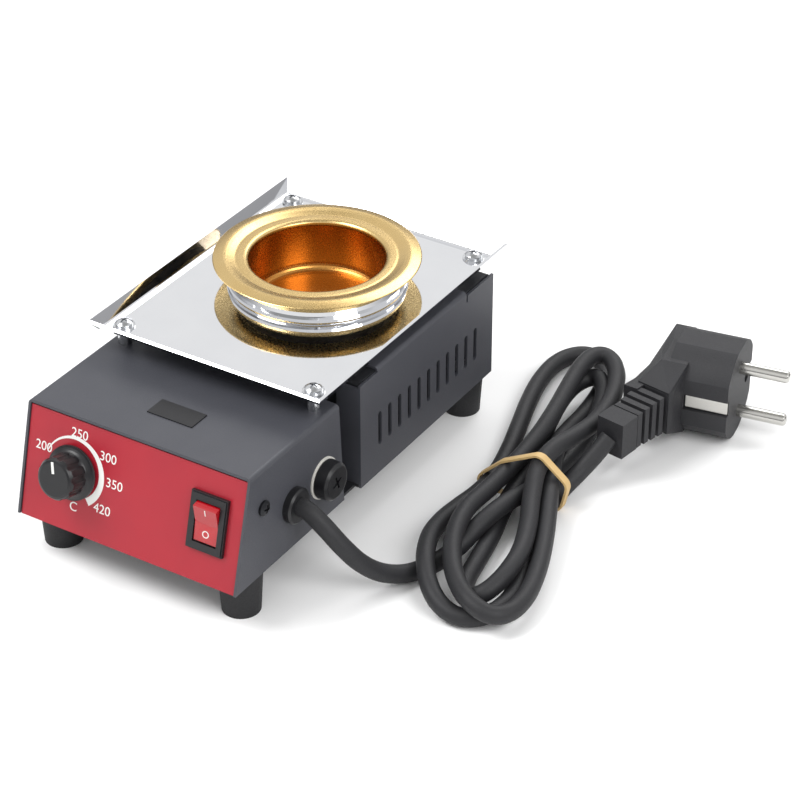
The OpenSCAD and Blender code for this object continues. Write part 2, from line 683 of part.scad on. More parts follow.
// Rocker shown switched off: its upper end stands out
module rocker() color("#a8141c") on_panel(switch_x, switch_s, rocker_rise)
    rotate([rocker_swing / 2, 0, 0]) {
        rotate([90, 0, 90]) translate([0, 0, -rocker_w / 2]) linear_extrude(rocker_w) intersection() {
            circle(rocker_r);
            polygon([[-9, 1.6 + 9 * tan(10)], [0, 1.6], [9, 1.6 + 9 * tan(10)], [9, 0], [3, -4], [-3, -4], [-9, 0]]);
        }
        translate([-rocker_w / 2 - 1.1, 0, 0]) rotate([0, 90, 0])
            cylinder(r = rocker_pin_r, h = rocker_w + 2.2, $fn = 32);
    }

// ---- fuse holder ---------------------------------------------------------------------

fuse_face_x = side_x + seal_t;
stem_len = 6;
cap_x = fuse_face_x + 0.1;
cap_end_x = fuse_face_x + fuse_cap_h;
module fuse_seal() color("#e6e4de") along_x(side_x, fuse_y, port_z) difference() {
    cylinder(r = fuse_cap_r + 0.5, h = seal_t);
    translate([0, 0, -1]) cylinder(r = fuse_barrel_r + slip, h = 4);
}

module fuse_holder() color("#1a1a1c") along_x(0, fuse_y, port_z) difference() {
    union() {
        translate([0, 0, fuse_face_x]) cylinder(r = fuse_collar_r, h = fuse_collar_t);
        translate([0, 0, fuse_face_x - 32]) cylinder(r = fuse_barrel_r, h = 32 + eps);
        translate([-0.4, -2.5, fuse_face_x - 38]) cube([0.8, 5, 8]);
    }
    translate([0, 0, fuse_face_x - 28]) cylinder(r = fuse_bore_r, h = 40);
}

module fuse_nut() color("#1a1a1c") along_x(side_x - sheet_t - 3, fuse_y, port_z)
    hex_nut(3, 7.6, fuse_barrel_r);

module fuse_link() color("#d9dcde") along_x(fuse_face_x + fuse_collar_t + fuse_proud - fuse_len, fuse_y, port_z) {
    cylinder(r = fuse_r, h = 5);
    translate([0, 0, 5]) cylinder(r = fuse_r - 0.15, h = fuse_len - 10);
    translate([0, 0, fuse_len - 5]) cylinder(r = fuse_r, h = 5);
}

module fuse_cap() color("#151517") along_x(0, fuse_y, port_z) difference() {
    rotate_extrude() polygon([[0, cap_x + 0.4], [fuse_cap_r - 0.2, cap_x], [fuse_cap_r, cap_x + 0.3],
        [fuse_cap_r - 0.3, cap_end_x - 1.0], [fuse_cap_r - 1.1, cap_end_x - 0.15],
        [fuse_cap_r - 1.6, cap_end_x], [0, cap_end_x]]);
    // inside of the cap over the holder's collar
    translate([0, 0, cap_x - 1]) cylinder(r = fuse_collar_r + swing_gap, h = 1 + fuse_collar_t + 0.4);
    translate([0, 0, cap_x - 1]) cylinder(r = fuse_r + run_clear, h = 1 + fuse_collar_t + fuse_proud + 0.1);
    for (a = [20, 110]) rotate(a) translate([-2.75, -0.45, cap_end_x - 0.9]) cube([5.5, 0.9, 3]);
}

// ---- cable gland -----------------------------------------------------------------------

module cable_gland() color("#1c1c1e") along_x(side_x, gland_y, port_z) difference() {
    union() {
        rotate_extrude() polygon([[0, 0], [gland_r, 0], [gland_r, gland_t - 0.7],
            [gland_r - 0.7, gland_t], [0, gland_t]]);
        translate([0, 0, -9]) cylinder(r = gland_neck_r, h = 9 + eps);
    }
    translate([0, 0, -12]) cylinder(r = cord_r, h = 30);
}

module gland_nut() color("#1c1c1e") along_x(side_x - sheet_t - 3, gland_y, port_z)
    hex_nut(3, 7.2, gland_neck_r);

// ---- board and wiring --------------------------------------------------------------------

board_x = 36.85 - control_w / 2;
board_y = control_front_y + 36;
board_z = base_top + 5;
board_size = [58, 30];
board_t = 1.6;
board_places = [for (sx = [-1, 1], sy = [-1, 1])
    [board_x + sx * (board_size[0] / 2 - 4), board_y + sy * (board_size[1] / 2 - 4)]];

module control_board() color("#2e5a34") difference() {
    translate([board_x - board_size[0] / 2, board_y - board_size[1] / 2, board_z])
        cube([board_size[0], board_size[1], board_t]);
    for (p = board_places) translate([p[0], p[1], board_z - 1]) cylinder(r = screw_r + hole_clear, h = 4);
}

module board_pillars() color("#c8cacc") for (p = board_places) translate([p[0], p[1], base_z - 1.2]) {
    cylinder(r = 2.6, h = 1.2);
    cylinder(r = screw_r, h = board_z - base_z + 3);
    translate([0, 0, base_top - base_z + 1.2]) cylinder(r = 2.8, h = board_z - base_top, $fn = 6);
}

module board_parts() translate([board_x, board_y, board_z + board_t]) {
    color("#a7aaad") translate([-22, 2, 0]) for (k = [0 : 4]) translate([k * 3.2, 0, 0]) cube([1.2, 8, 14]);
    color("#a7aaad") translate([-22, 4, 0]) cube([14, 1.4, 14]);
    color("#1d1d1f") translate([-19, -2.5, 0]) cube([10, 4.4, 14]);
    color("#c9b458") translate([4, 0, 0]) cube([13, 7, 11]);
    color("#2b3f8f") translate([-2, -10, 0]) cylinder(r = 3, h = 8);
    color("#9b5a2a") translate([8, -9, 0]) cylinder(r = 4, h = 7);
}

block_x = control_w / 2 - 15.85;
block_y = control_front_y + 34;
module terminal_block() color("#d8d6cf") difference() {
    translate([block_x - 9.5, block_y - 5, base_top]) cube([19, 10, 10]);
    for (k = [-1 : 1]) {
        translate([block_x + k * 6.4, block_y - 6, base_top + 4.5]) rotate([-90, 0, 0])
            cylinder(r = 1.7, h = 12);
        translate([block_x + k * 6.4, block_y, base_top + 6]) cylinder(r = 1.5, h = 10);
    }
}

wire_r = 1.2;
wire_x = [-8, 8];
wire_z = base_top + 9;
wire_in_y = -14;
// Mains leads from the gland's inner end to the terminal block
module mains_wires() for (k = [0 : 2])
    color(["#7a4a22", "#2b55a8", "#5f9e2f"][k]) tube([
        [side_x - 10.5, gland_y + (k - 1) * 2, port_z],
        [side_x - 14, gland_y + 3 + (k - 1) * 2.6, port_z - 2],
        [block_x + (k - 1) * 6.4, block_y + 11, base_top + 8],
        [block_x + (k - 1) * 6.4, block_y + 7, base_top + 4.5],
        [block_x + (k - 1) * 6.4, block_y + 1, base_top + 4.5]], 0.95, 6, 2);

// Heater leads across the gap and up into the can
module heater_wires() color("#c9c3b4") for (x = wire_x) tube([
        [x, back_wall_y - 14, wire_z], [x, back_wall_y - 4, wire_z], [x, back_wall_y + 6, wire_z],
        [x, heater_front_y + 5, wire_z], [x, wire_in_y - 8, wire_z - 1.5],
        [x, wire_in_y - 1.5, wire_z + 0.5], [x, wire_in_y, can_floor], [x, wire_in_y, can_floor + 8],
        [x, wire_in_y, plate_z]], wire_r, 8, 2);

// ---- mains cord -------------------------------------------------------------------------------

// Route from the gland down to the floor and back into the bundle
lead_route = [[side_x - 9, gland_y, port_z], [side_x, gland_y, port_z], [54, gland_y, 33],
    [60, -87, 30], [66, -85, 24], [70, -82, 17], [73, -77, 10], [77, -70, 5], [81, -62, 3.5],
    [85, -54, 3.5], [88, -46, 3.5]];
tail_route = [[100.6, 4.8, 5], [101.8, 9, 8.2], [104, 14, 12.2], [106.6, 19.5, 16.2], [108.5, 24, 18.4]];

module power_cord() color("#1e1e20") tube(lead_route, cord_r, 10, 1);
module plug_lead() color("#1e1e20") tube(concat(tail_route, [plug_point(relief_end, 19)]), cord_r, 10, 2);

// Bundle of three long loops, pinched at its waist
low_h = 17.0;
waist_h = 13.6;
high_h = 20.4;
module cord_hank() color("#232325") {
    linear_extrude(low_h) hull() {
        translate([89.5, -12]) circle(13);
        translate([88, -40]) circle(19);
        translate([109.5, -63]) circle(19);
    }
    linear_extrude(waist_h) hull() for (p = [[89.5, -12], [88, 12]]) translate(p) circle(13);
    linear_extrude(high_h) hull() {
        translate([88, 16]) circle(13);
        translate([80, 46]) circle(20.5);
        translate([69, 82]) circle(17);
    }
}

module rubber_band() color("#d9c39a") translate([89, 0, 0]) rotate([90, 0, 4]) linear_extrude(3.4, center = true)
    difference() {
        translate([-14.6, 0]) round_top_shift(29.2, waist_h + 0.9);
        translate([-13.6, -1]) round_top_shift(27.2, waist_h + 1);
    }
module round_top_shift(w, h) translate([w / 2, 0]) round_top(w, h, 5);

// ---- plug --------------------------------------------------------------------------------------

// A point given beside the plug's face, in the floor's plane
function plug_point(p, z) = [plug_face[0] + p[0] * cos(plug_turn) - p[1] * sin(plug_turn),
    plug_face[1] + p[0] * sin(plug_turn) + p[1] * cos(plug_turn), z];
module at_plug() translate(plug_face) rotate(plug_turn) children();

plug_side = 16.5;    // half width across the earth clips
plug_half_h = 18.4;  // half height over the flat ends
plug_depth = 24;
relief_turn = atan2(relief_end[1] - relief_root[1], relief_end[0] - relief_root[0]);
relief_len = norm(relief_end - relief_root);
rib_count = 5;
ridge_h = 17;        // height of the grip ridge on the plug's back

module plug_core() intersection() {
    translate([-plug_depth, 0, 0]) rotate([0, 90, 0]) cylinder(r = plug_r + 0.5, h = plug_depth);
    translate([-plug_depth - 1, -plug_side, -plug_face[2]])
        cube([plug_depth + 2, 2 * plug_side, plug_face[2] + plug_half_h]);
}

module plug_body() color("#232326") at_plug() difference() {
    union() {
        plug_core();
        // neck that turns from the plug's back to the cord
        hull() {
            translate([-plug_depth - 2, 6, 0]) cube([8, 18, 27], center = true);
            translate([-plug_depth + 2, -6, 0]) cube([10, 16, 30], center = true);
            translate([relief_root[0], relief_root[1], 0]) rotate(relief_turn)
                cube([3, 14, 18], center = true);
        }
        // finger ridge along the back
        translate([0, 0, -ridge_h / 2]) linear_extrude(ridge_h) polygon(
            [[-plug_depth, 13], [-plug_depth - 6, 7], [-plug_depth - 11, -20],
             [-plug_depth - 13.5, -26], [-plug_depth - 8, -27], [-plug_depth, -6]]);
        // ribbed strain relief
        translate([relief_root[0], relief_root[1], 0]) rotate(relief_turn) {
            rotate([0, 90, 0]) linear_extrude(relief_len) square([9, 9], center = true);
            for (k = [0 : rib_count - 1]) translate([0.5 + k * 4.1, 0, 0])
                cube([2.6, 13 - 0.5 * k, 16.5 - 0.5 * k], center = true);
            translate([relief_len - 4.5, 0, 0]) cube([9, 11.5, 14.5], center = true);
        }
    }
    // sockets for the pins, grooves for the earth clips, and the earth contact's hole
    for (sz = [-1, 1]) translate([-12, 0, sz * pin_pitch / 2]) rotate([0, 90, 0])
        cylinder(r = pin_r - 0.4, h = 20);
    for (sy = [-1, 1]) translate([-17, sy * (plug_side - 0.5) - 1.5, -3.2]) cube([18, 3, 6.4]);
    translate([-9, 10, 0]) rotate([0, 90, 0]) cylinder(r = 2.6, h = 12);
}

module plug_pins() color("#b9babb") at_plug() for (sz = [-1, 1])
    translate([-12, 0, sz * pin_pitch / 2]) rotate([0, 90, 0])
        rotate_extrude() polygon(concat([[0, 0], [pin_r - 0.4, 0], [pin_r - 0.4, 12], [pin_r, 12],
            [pin_r, 12 + pin_len - 1.5]],
            [for (a = [22.5 : 22.5 : 67.5]) [pin_r - 1.5 + 1.5 * cos(a), 12 + pin_len - 1.5 + 1.5 * sin(a)]],
            [[0, 12 + pin_len]]));

module earth_clips() color("#c2c3c4") at_plug() for (sy = [-1, 1])
    translate([-16.5, sy * (plug_side - 1.6) - 0.35, -2.6]) cube([16.3, 0.7, 5.2]);

// ---- assembly -------------------------------------------------------------------------------------

base_plate();
rubber_feet();
foot_screws();
control_cover();
front_panel();
control_back_wall();
cover_screws();
label_plate();
heater_side_right();
heater_side_left();
heater_shell();
tray();
tray_screws();
tray_washers();
tray_spacers();
tray_nuts();
heater_can();
can_collar();
can_standoffs();
insulation_pad();
heating_plate();
band_heater();
crucible_seat();
crucible();
sensor_probe();
knob();
dial_shaft();
potentiometer();
dial_nut();
switch_body();
switch_terminals();
rocker();
fuse_holder();
fuse_seal();
fuse_nut();
fuse_link();
fuse_cap();
cable_gland();
gland_nut();
control_board();
board_pillars();
board_parts();
terminal_block();
mains_wires();
heater_wires();
power_cord();
cord_hank();
rubber_band();
plug_lead();
plug_body();
plug_pins();
earth_clips();
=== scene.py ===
import math

import bpy
from mathutils import Matrix, Vector


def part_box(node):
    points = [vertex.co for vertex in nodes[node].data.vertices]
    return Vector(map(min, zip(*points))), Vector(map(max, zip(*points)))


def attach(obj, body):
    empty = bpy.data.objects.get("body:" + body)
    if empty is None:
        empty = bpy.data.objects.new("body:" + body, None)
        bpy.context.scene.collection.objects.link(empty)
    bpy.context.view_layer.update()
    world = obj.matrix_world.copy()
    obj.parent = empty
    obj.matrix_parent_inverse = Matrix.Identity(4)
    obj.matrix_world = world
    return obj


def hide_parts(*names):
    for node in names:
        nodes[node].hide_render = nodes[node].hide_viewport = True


# Everything is in metres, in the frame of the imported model
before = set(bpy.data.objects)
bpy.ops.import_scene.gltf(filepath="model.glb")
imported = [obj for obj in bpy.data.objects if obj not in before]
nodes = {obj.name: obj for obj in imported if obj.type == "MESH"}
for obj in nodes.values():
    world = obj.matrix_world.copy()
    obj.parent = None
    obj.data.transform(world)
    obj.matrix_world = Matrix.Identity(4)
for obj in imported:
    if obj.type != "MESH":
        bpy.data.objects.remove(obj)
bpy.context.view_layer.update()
scene = bpy.context.scene
mm = 0.001
print("frame loaded")

# Camera
cameraSet = {
    "azimuth": 32.0,
    "elevation": 33.18,
    "lens": 120.42,
    "sensor": 36,
    "far": 10,
    "place": (0.4754, -0.7036, 0.5670),
    "pixels": 800,
}


def addCamera(s):
    around, above = math.radians(s["azimuth"]), math.radians(s["elevation"])
    level = math.cos(above)
    back = Vector((math.sin(around) * level, -math.cos(around) * level, math.sin(above)))
    right = Vector((math.cos(around), math.sin(around), 0))
    turned = Matrix((right, back.cross(right), back)).transposed().to_4x4()
    turned.translation = Vector(s["place"])
    data = bpy.data.cameras.new("camera")
    data.lens, data.sensor_width, data.clip_end = s["lens"], s["sensor"], s["far"]
    camera = bpy.data.objects.new("camera", data)
    scene.collection.objects.link(camera)
    camera.matrix_world = turned
    scene.camera = camera


addCamera(cameraSet)
scene.render.resolution_x = scene.render.resolution_y = cameraSet["pixels"]

# Materials


def linear(hexColour):
    parts = [int(hexColour[i : i + 2], 16) / 255 for i in (1, 3, 5)]
    return tuple(c / 12.92 if c <= 0.04045 else ((c + 0.055) / 1.055) ** 2.4 for c in parts) + (1,)


def addNode(tree, kind, links=(), **values):
    made = tree.nodes.new(kind)
    for name, value in values.items():
        if name in made.inputs.keys():
            made.inputs[name].default_value = value
        else:
            setattr(made, name, value)
    for socket, source in links:
        tree.links.new(source, made.inputs[socket])
    return made


def makeMaterial(name, s):
    made = bpy.data.materials.new(name)
    made.use_nodes = True
    tree = made.node_tree
    shader = tree.nodes["Principled BSDF"]
    where = addNode(tree, "ShaderNodeTexCoord").outputs["Object"]
    stretch = addNode(tree, "ShaderNodeMapping", [("Vector", where)], Scale=s.get("stretch", (1, 1, 1)))
    grain = addNode(tree, "ShaderNodeTexNoise", [("Vector", stretch.outputs[0])],
                    Scale=s.get("grain", 1500), Detail=4, Roughness=0.6)
    cloud = addNode(tree, "ShaderNodeTexNoise", [("Vector", where)], Scale=s.get("cloud", 60), Detail=3)
    # cloudy change of colour between two near shades
    shade = addNode(tree, "ShaderNodeMix", [("Factor", cloud.outputs["Fac"])], data_type="RGBA")
    shade.inputs["A"].default_value = linear(s["colour"])
    shade.inputs["B"].default_value = linear(s.get("second", s["colour"]))
    tree.links.new(shade.outputs["Result"], shader.inputs["Base Color"])
    low, high = s["rough"]
    rough = addNode(tree, "ShaderNodeMapRange", [("Value", grain.outputs["Fac"])])
    rough.inputs["From Min"].default_value, rough.inputs["From Max"].default_value = 0.3, 0.7
    rough.inputs["To Min"].default_value, rough.inputs["To Max"].default_value = low, high
    tree.links.new(rough.outputs["Result"], shader.inputs["Roughness"])
    bump = addNode(tree, "ShaderNodeBump", [("Height", grain.outputs["Fac"])],
                   Strength=s.get("bump", 0.15), Distance=s.get("depth", 0.0001))
    tree.links.new(bump.outputs["Normal"], shader.inputs["Normal"])
    shader.inputs["Metallic"].default_value = s.get("metal", 0)
    shader.inputs["IOR"].default_value = s.get("ior", 1.45)
    shader.inputs["Coat Weight"].default_value = s.get("coat", 0)
    return made


finishes = {
    "grey_paint": {"colour": "#45464c", "second": "#3c3d43", "rough": (0.38, 0.55), "bump": 0.25, "grain": 2600},
    "black_paint": {"colour": "#232427", "second": "#1c1d20", "rough": (0.45, 0.6), "bump": 0.2, "grain": 2400},
    "red_paint": {"colour": "#a81f2c", "second": "#98192a", "rough": (0.34, 0.46), "bump": 0.12, "grain": 2400},
    "mirror_steel": {"colour": "#e4e5e7", "second": "#dcdde0", "metal": 1, "rough": (0.03, 0.07), "bump": 0.01},
    "bright_steel": {"colour": "#d0d1d3", "second": "#bfc1c4", "metal": 1, "rough": (0.14, 0.24), "bump": 0.04},
    "black_steel": {"colour": "#232326", "second": "#18181a", "metal": 0.6, "rough": (0.4, 0.6)},
    "black_screw": {"colour": "#2b2c2f", "second": "#202124", "metal": 0.7, "rough": (0.3, 0.45)},
    "zinc": {"colour": "#b9bcc0", "second": "#a5a8ac", "metal": 1, "rough": (0.24, 0.4), "cloud": 300},
    "heater_cast": {"colour": "#6b6358", "second": "#544d45", "metal": 0.4, "rough": (0.6, 0.8), "bump": 0.5},
    "band_steel": {"colour": "#8f8269", "second": "#77654e", "metal": 1, "rough": (0.3, 0.5)},
    "ceramic_fibre": {"colour": "#dad6ca", "second": "#c9c4b6", "rough": (0.85, 0.95), "bump": 0.7, "grain": 900},
    "black_plastic": {"colour": "#141416", "second": "#19191c", "rough": (0.3, 0.42), "bump": 0.12, "grain": 2800},
    "red_plastic": {"colour": "#b3101c", "second": "#a00d19", "rough": (0.16, 0.24), "bump": 0.03, "coat": 0.5},
    "white_plastic": {"colour": "#e6e4de", "second": "#dcd9d1", "rough": (0.4, 0.55), "bump": 0.08},
    "green_board": {"colour": "#1f5634", "second": "#184429", "rough": (0.25, 0.4), "coat": 0.4},
    "board_component": {"colour": "#4a4a4c", "second": "#38383a", "rough": (0.4, 0.6)},
    "wire_plastic": {"colour": "#5c452e", "second": "#4a3826", "rough": (0.4, 0.55)},
    "glass_sleeve": {"colour": "#d5d0c2", "second": "#c5bfae", "rough": (0.8, 0.9), "bump": 0.5, "grain": 1200},
    "cord_rubber": {"colour": "#1d1d1f", "second": "#242427", "rough": (0.5, 0.66), "bump": 0.22, "grain": 1800},
    "plug_rubber": {"colour": "#202023", "second": "#28282b", "rough": (0.5, 0.66), "bump": 0.6, "grain": 2200,
                    "depth": 0.0002},
    "band_rubber": {"colour": "#cdb07c", "second": "#b99a66", "rough": (0.5, 0.65), "bump": 0.2, "cloud": 200},
    "foot_rubber": {"colour": "#1a1a1c", "second": "#222224", "rough": (0.6, 0.75), "bump": 0.25},
    "nickel_pin": {"colour": "#c9c8c4", "second": "#b9b7b2", "metal": 1, "rough": (0.14, 0.24), "bump": 0.04},
    "white_print": {"colour": "#e9e9e6", "second": "#dcdcd8", "rough": (0.5, 0.6), "bump": 0.03},
}
materials = {name: makeMaterial(name, s) for name, s in finishes.items()}


goldSet = {
    "rim": {"colour": "#d8bd86", "second": "#cdae74", "metal": 1, "rough": (0.22, 0.34),
            "bump": 0.08, "grain": 1400, "cloud": 90},
    # painted shade: the darker, browner gold of the cavity's wall, at the bottom and at the top of the wall
    "cavityShadeLow": "#c08a48",
    "cavityShadeHigh": "#a9712f",
    "wallRadius": 25.4 * mm,
    "depth": 21.3 * mm,
}


# The rim is pale champagne. The cavity's wall gets a darker, browner gold as painted shade of the recess, darker
# towards the rim
def makeGold(name, s, crest):
    made = makeMaterial(name, s["rim"])
    tree = made.node_tree
    shader = tree.nodes["Principled BSDF"]
    pale = shader.inputs["Base Color"].links[0].from_socket
    where = addNode(tree, "ShaderNodeTexCoord").outputs["Object"]
    split = addNode(tree, "ShaderNodeSeparateXYZ", [("Vector", where)])
    flat = addNode(tree, "ShaderNodeCombineXYZ",
                   [("X", split.outputs["X"]), ("Y", split.outputs["Y"])])
    radius = addNode(tree, "ShaderNodeVectorMath", [("Vector", flat.outputs[0])], operation="LENGTH")
    # inside the wall's radius the surface gets the painted shade of the cavity
    cavityShadeMask = addNode(tree, "ShaderNodeMath", [(0, radius.outputs["Value"])], operation="LESS_THAN")
    cavityShadeMask.inputs[1].default_value = s["wallRadius"]
    height = addNode(tree, "ShaderNodeMapRange", [("Value", split.outputs["Z"])])
    height.inputs["From Min"].default_value = crest - s["depth"]
    height.inputs["From Max"].default_value = crest
    # painted shade of the cavity, graded from the bottom of the wall to the darker top
    cavityShade = addNode(tree, "ShaderNodeMix", [("Factor", height.outputs["Result"])], data_type="RGBA")
    cavityShade.inputs["A"].default_value = linear(s["cavityShadeLow"])
    cavityShade.inputs["B"].default_value = linear(s["cavityShadeHigh"])
    both = addNode(tree, "ShaderNodeMix", [("Factor", cavityShadeMask.outputs[0])], data_type="RGBA")
    tree.links.new(pale, both.inputs["A"])
    tree.links.new(cavityShade.outputs["Result"], both.inputs["B"])
    tree.links.new(both.outputs["Result"], shader.inputs["Base Color"])
    return made


for name, made in nodes.items():
    for holder in made.material_slots:
        slotName = holder.material.name.split(".")[0] if holder.material else ""
        if slotName in materials:
            holder.material = materials[slotName]
crucibleLow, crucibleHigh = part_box("crucible")
gold = makeGold("gold_anodised_look", goldSet, crucibleHigh[2])
for holder in nodes["crucible"].material_slots:
    holder.material = gold
print("materials done")

# Small makers


def addMesh(name, verts, faces, material, smooth=True):
    mesh = bpy.data.meshes.new(name)
    mesh.from_pydata([tuple(v) for v in verts], [], faces)
    mesh.materials.append(material)
    for face in mesh.polygons:
        face.use_smooth = smooth
    mesh.validate()
    made = bpy.data.objects.new(name, mesh)
    scene.collection.objects.link(made)
    mesh.set_sharp_from_angle(angle=math.radians(35))
    return made


# Catmull-Rom line through listed points
def smoothLine(points, steps):
    line = []
    last = len(points) - 1
    for i in range(last):
        a, b, c, d = (Vector(points[max(0, min(j, last))]) for j in (i - 1, i, i + 1, i + 2))
        for k in range(steps):
            t = k / steps
            line.append(0.5 * (2 * b + (c - a) * t + (2 * a - 5 * b + 4 * c - d) * t * t
                               + (3 * b - a - 3 * c + d) * t ** 3))
    return line + [Vector(points[last])]


# Cord
cordSet = {"diameter": 6.8 * mm, "steps": 5, "length": 1.186}
# gland, floor, then three loops to each side of the waist, and up to the plug
# fmt: off
cordRoute = [
    (46.9, -87.2, 33.9), (53.0, -87.2, 33.5), (59.5, -86.7, 28.7), (65.4, -84.9, 21.7),
    (70.4, -81.1, 14.3), (74.9, -75.0, 8.1), (79.5, -66.7, 4.2), (84.2, -56.7, 3.5),
    (88.1, -45.2, 5.6), (90.6, -31.7, 9.7), (92.3, -16.3, 9.8), (93.1, 0.0, 5.8),
    (93.4, 16.8, 3.5), (93.2, 33.1, 4.1), (91.8, 47.1, 6.0), (89.4, 58.6, 8.1),
    (85.8, 67.1, 9.8), (81.0, 71.7, 10.5), (76.5, 70.6, 9.2), (73.9, 64.0, 8.1),
    (74.3, 53.6, 7.2), (76.7, 41.2, 6.2), (80.0, 28.0, 5.1), (83.0, 14.2, 4.0),
    (85.6, -0.2, 3.6), (88.8, -15.1, 3.5), (93.2, -30.1, 3.5), (96.4, -44.6, 3.5),
    (98.9, -56.8, 3.5), (102.5, -64.7, 3.9), (107.3, -66.9, 5.3), (111.4, -62.9, 7.6),
    (113.0, -53.6, 9.8), (111.3, -41.0, 10.8), (106.4, -27.4, 11.8), (100.1, -13.9, 13.6),
    (95.3, -1.0, 16.2), (95.1, 11.1, 17.8), (96.9, 23.0, 16.9), (97.9, 35.5, 15.8),
    (96.8, 48.2, 15.1), (93.8, 60.3, 15.0), (89.2, 70.7, 15.3), (83.7, 77.7, 15.5),
    (78.7, 79.5, 15.8), (75.8, 75.3, 16.4), (75.6, 66.3, 16.2), (77.4, 54.2, 15.1),
    (79.8, 40.6, 13.8), (81.6, 26.6, 12.4), (82.4, 12.7, 11.1), (82.6, -1.2, 10.6),
    (83.1, -16.4, 11.5), (84.1, -32.6, 13.1), (88.2, -48.0, 13.0), (95.2, -60.9, 11.8),
    (103.9, -70.8, 11.0), (112.7, -76.3, 10.4), (119.8, -76.0, 8.6), (123.7, -69.5, 7.4),
    (123.6, -58.3, 7.2), (120.0, -44.5, 7.6), (114.2, -29.6, 8.3), (107.2, -14.4, 9.6),
    (99.8, 0.6, 10.6), (93.2, 14.9, 10.6), (88.1, 28.5, 8.6), (85.3, 42.0, 5.7),
    (83.9, 55.1, 4.0), (82.3, 67.4, 3.5), (79.8, 78.6, 3.5), (75.6, 87.8, 3.5),
    (69.8, 93.3, 3.5), (63.4, 93.7, 3.5), (58.5, 88.6, 3.5), (56.6, 79.1, 3.5),
    (57.9, 66.2, 3.5), (61.6, 51.4, 3.5), (66.6, 35.5, 3.5), (71.6, 19.1, 3.5),
    (75.1, 3.3, 3.5), (75.7, -9.8, 3.6), (74.9, -21.7, 4.3), (75.4, -34.4, 6.3),
    (78.5, -48.0, 9.0), (84.1, -60.6, 10.3), (91.1, -70.4, 8.2), (98.9, -76.2, 5.6),
    (106.7, -77.4, 3.8), (113.2, -73.9, 3.5), (117.1, -66.2, 3.5), (116.9, -55.5, 3.5),
    (113.0, -42.9, 3.5), (107.7, -29.2, 3.5), (103.1, -14.9, 3.5), (101.0, -1.8, 3.5),
    (101.6, 8.2, 4.9), (103.9, 15.4, 8.4), (106.8, 21.0, 13.3), (109.6, 26.7, 19.0),
]
# fmt: on
route = smoothLine([Vector(p) * mm for p in cordRoute], cordSet["steps"])


def addCord(line, s):
    curve = bpy.data.curves.new("mains_cord", "CURVE")
    curve.dimensions = "3D"
    curve.bevel_depth = s["diameter"] / 2
    curve.bevel_resolution = 6
    curve.use_fill_caps = True
    spline = curve.splines.new("POLY")
    spline.points.add(len(line) - 1)
    for point, place in zip(spline.points, line):
        point.co = (*place, 1)
    curve.materials.append(materials["cord_rubber"])
    made = bpy.data.objects.new("mains_cord", curve)
    scene.collection.objects.link(made)
    return made


cord = addCord(route, cordSet)
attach(cord, "case")
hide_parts("power_cord", "cord_hank", "plug_lead")

# Rubber band round the waist
bandSet = {"width": 3.0 * mm, "thick": 0.9 * mm, "sides": 96, "skew": 4}


# The band is the taut outline round the strands that pass the waist
def addBand(line, s):
    centres = [(p.x, p.z) for p in line if abs(p.y) < 6 * mm]
    rings = []
    for grow, along in ((0, -1), (1, -1), (1.1, -0.7), (1.1, 0.7), (1, 1), (0, 1)):
        ring = []
        for k in range(s["sides"]):
            a = 2 * math.pi * k / s["sides"]
            x, z = max(centres, key=lambda c: c[0] * math.cos(a) + c[1] * math.sin(a))
            r = cordSet["diameter"] / 2 + grow * s["thick"] / 1.1
            x, z = x + r * math.cos(a), max(z + r * math.sin(a), 0.02 * mm)
            ring.append((x, along * s["width"] / 2 + (x - 0.089) * math.tan(math.radians(s["skew"])), z))
        rings.append(ring)
    n = s["sides"]
    faces = [(i * n + k, i * n + (k + 1) % n, (i + 1) % 6 * n + (k + 1) % n, (i + 1) % 6 * n + k)
             for i in range(6) for k in range(n)]
    return addMesh("hank_band", [v for ring in rings for v in ring], faces, materials["band_rubber"])


band = addBand(route, bandSet)
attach(band, "case")
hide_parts("rubber_band")
print("cord done")

# Print on the panel
tilt = math.radians(15.1)
panelFoot = Vector((0, -0.1226, 0.0165))
panelRight = Vector((1, 0, 0))
panelUp = Vector((0, math.sin(tilt), math.cos(tilt)))
panelOut = Vector((0, -math.cos(tilt), math.sin(tilt)))
panelTurn = Matrix((panelRight, panelUp, panelOut)).transposed()
panelInset = 0.6 * mm


def onPanel(x, s, out=0.0):
    return panelFoot + panelRight * x * mm + panelUp * s * mm + panelOut * (out * mm - panelInset)


def addText(name, words, centre, turn, height, material, body):
    text = bpy.data.curves.new(name, "FONT")
    text.body, text.size, text.extrude = words, height / 0.7, 0.03 * mm
    text.align_x, text.align_y = "CENTER", "CENTER"
    made = bpy.data.objects.new(name, text)
    scene.collection.objects.link(made)
    made.matrix_world = Matrix.Translation(centre) @ turn.to_4x4()
    text.materials.append(material)
    bpy.ops.object.select_all(action="DESELECT")
    made.select_set(True)
    bpy.context.view_layer.objects.active = made
    bpy.ops.object.convert(target="MESH")
    bpy.ops.object.transform_apply(location=True, rotation=True, scale=True)
    made = bpy.context.view_layer.objects.active
    made.name = name
    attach(made, body)
    return made


dialSet = {"x": -25.0, "s": 22.6, "outer": 12.9, "start": 160, "end": -54, "thin": 0.35, "wide": 2.9, "sides": 60}
numerals = {"200": (-38.8, 27.8), "250": (-24.2, 36.8), "300": (-11.4, 32.0), "350": (-7.7, 23.1),
            "420": (-11.7, 12.5), "C": (-23.8, 9.7)}


